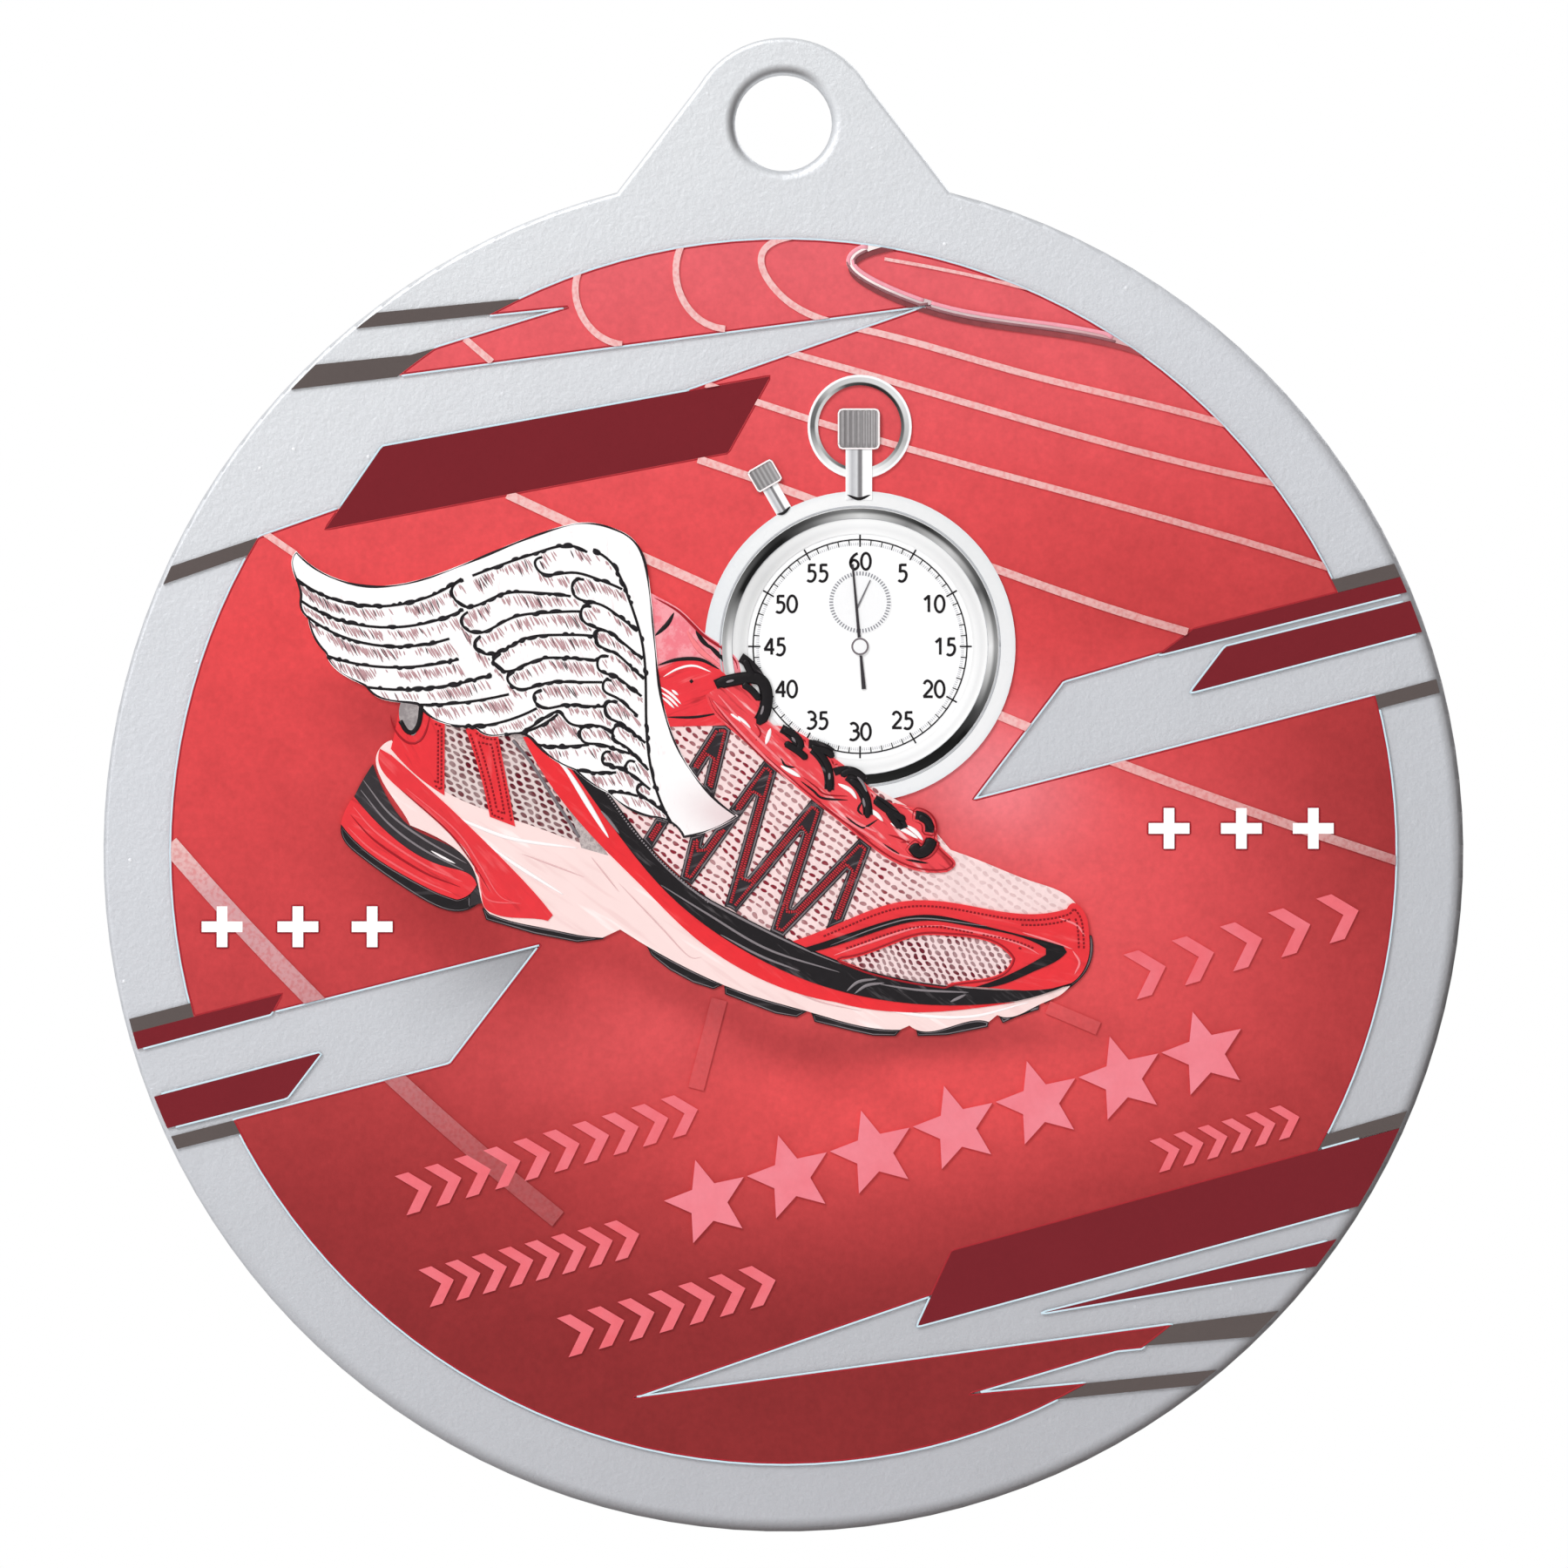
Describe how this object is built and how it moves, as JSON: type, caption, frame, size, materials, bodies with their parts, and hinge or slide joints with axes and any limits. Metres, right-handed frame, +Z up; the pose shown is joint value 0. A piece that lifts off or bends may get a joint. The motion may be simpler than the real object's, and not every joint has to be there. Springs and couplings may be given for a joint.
{
  "type": "sports finisher medal",
  "caption": "Round stamped steel medal with a hanging tab and hole, and a raised colour picture of a winged running shoe and a stopwatch on its front.",
  "frame": {"origin": "centre of the disc on the flat back face", "axes": "+Z up through the hanging tab, -Y out of the printed front face, +X to the right seen from the front"},
  "size_m": [0.07, 0.0034, 0.0769],
  "materials": {
    "steel": "satin, fine bead blasted",
    "red_ground": "semi-gloss cured ink, lighter at the top",
    "maroon": "semi-gloss cured ink",
    "warm_grey": "semi-gloss cured ink",
    "lane_white": "soft edged cured ink",
    "white_ink": "semi-gloss cured ink",
    "wing_white": "semi-gloss cured ink",
    "pink": "semi-gloss cured ink",
    "coral": "semi-gloss cured ink",
    "watch_silver": "gloss cured ink",
    "watch_chrome": "gloss cured ink shaded as polished metal",
    "knurled_grey": "gloss cured ink with fine grooves",
    "dial_white": "gloss cured ink",
    "black_ink": "semi-gloss cured ink",
    "fine_grey": "semi-gloss cured ink",
    "shoe_black": "semi-gloss cured ink",
    "shoe_red": "semi-gloss cured ink",
    "shoe_pink": "semi-gloss cured ink",
    "shoe_mesh": "semi-gloss cured ink with a mesh pattern",
    "shoe_grey": "semi-gloss cured ink",
    "tongue_pink": "semi-gloss cured ink"
  },
  "bodies": {
    "root": {"medal_blank": "steel", "red_field": "red_ground", "maroon_bars": "maroon", "grey_bars": "warm_grey", "kerb_shadow": "warm_grey", "lane_lines": "lane_white", "kerb_band": "lane_white", "plus_marks": "white_ink", "wing": "wing_white", "star_row": "pink", "chevron_rows": "coral", "watch_case": "watch_silver", "watch_flange": "watch_silver", "sub_dial": "watch_silver", "watch_bezel": "watch_chrome", "bow_ring": "watch_chrome", "crown_stem": "watch_chrome", "pusher_stem": "watch_chrome", "crown_knob": "knurled_grey", "pusher_knob": "knurled_grey", "watch_dial": "dial_white", "hand_hub": "dial_white", "minute_track": "black_ink", "dial_numerals": "black_ink", "second_hand": "black_ink", "feather_lines": "black_ink", "sub_dial_track": "fine_grey", "sub_dial_hand": "fine_grey", "outsole_lugs": "shoe_black", "heel_clip": "shoe_black", "lateral_rail": "shoe_black", "toe_piping": "shoe_black", "midfoot_cage": "shoe_black", "laces": "shoe_black", "heel_cushion": "shoe_red", "midsole_wedge": "shoe_red", "midsole_line": "shoe_red", "heel_counter": "shoe_red", "quarter_straps": "shoe_red", "toe_overlay": "shoe_red", "ankle_flap": "shoe_red", "eyestay": "shoe_red", "midsole": "shoe_pink", "collar_mesh": "shoe_mesh", "forefoot_mesh": "shoe_mesh", "toe_mesh": "shoe_mesh", "heel_tab": "shoe_grey", "collar_lining": "shoe_grey", "tongue": "tongue_pink"}
  },
  "joints": []
}
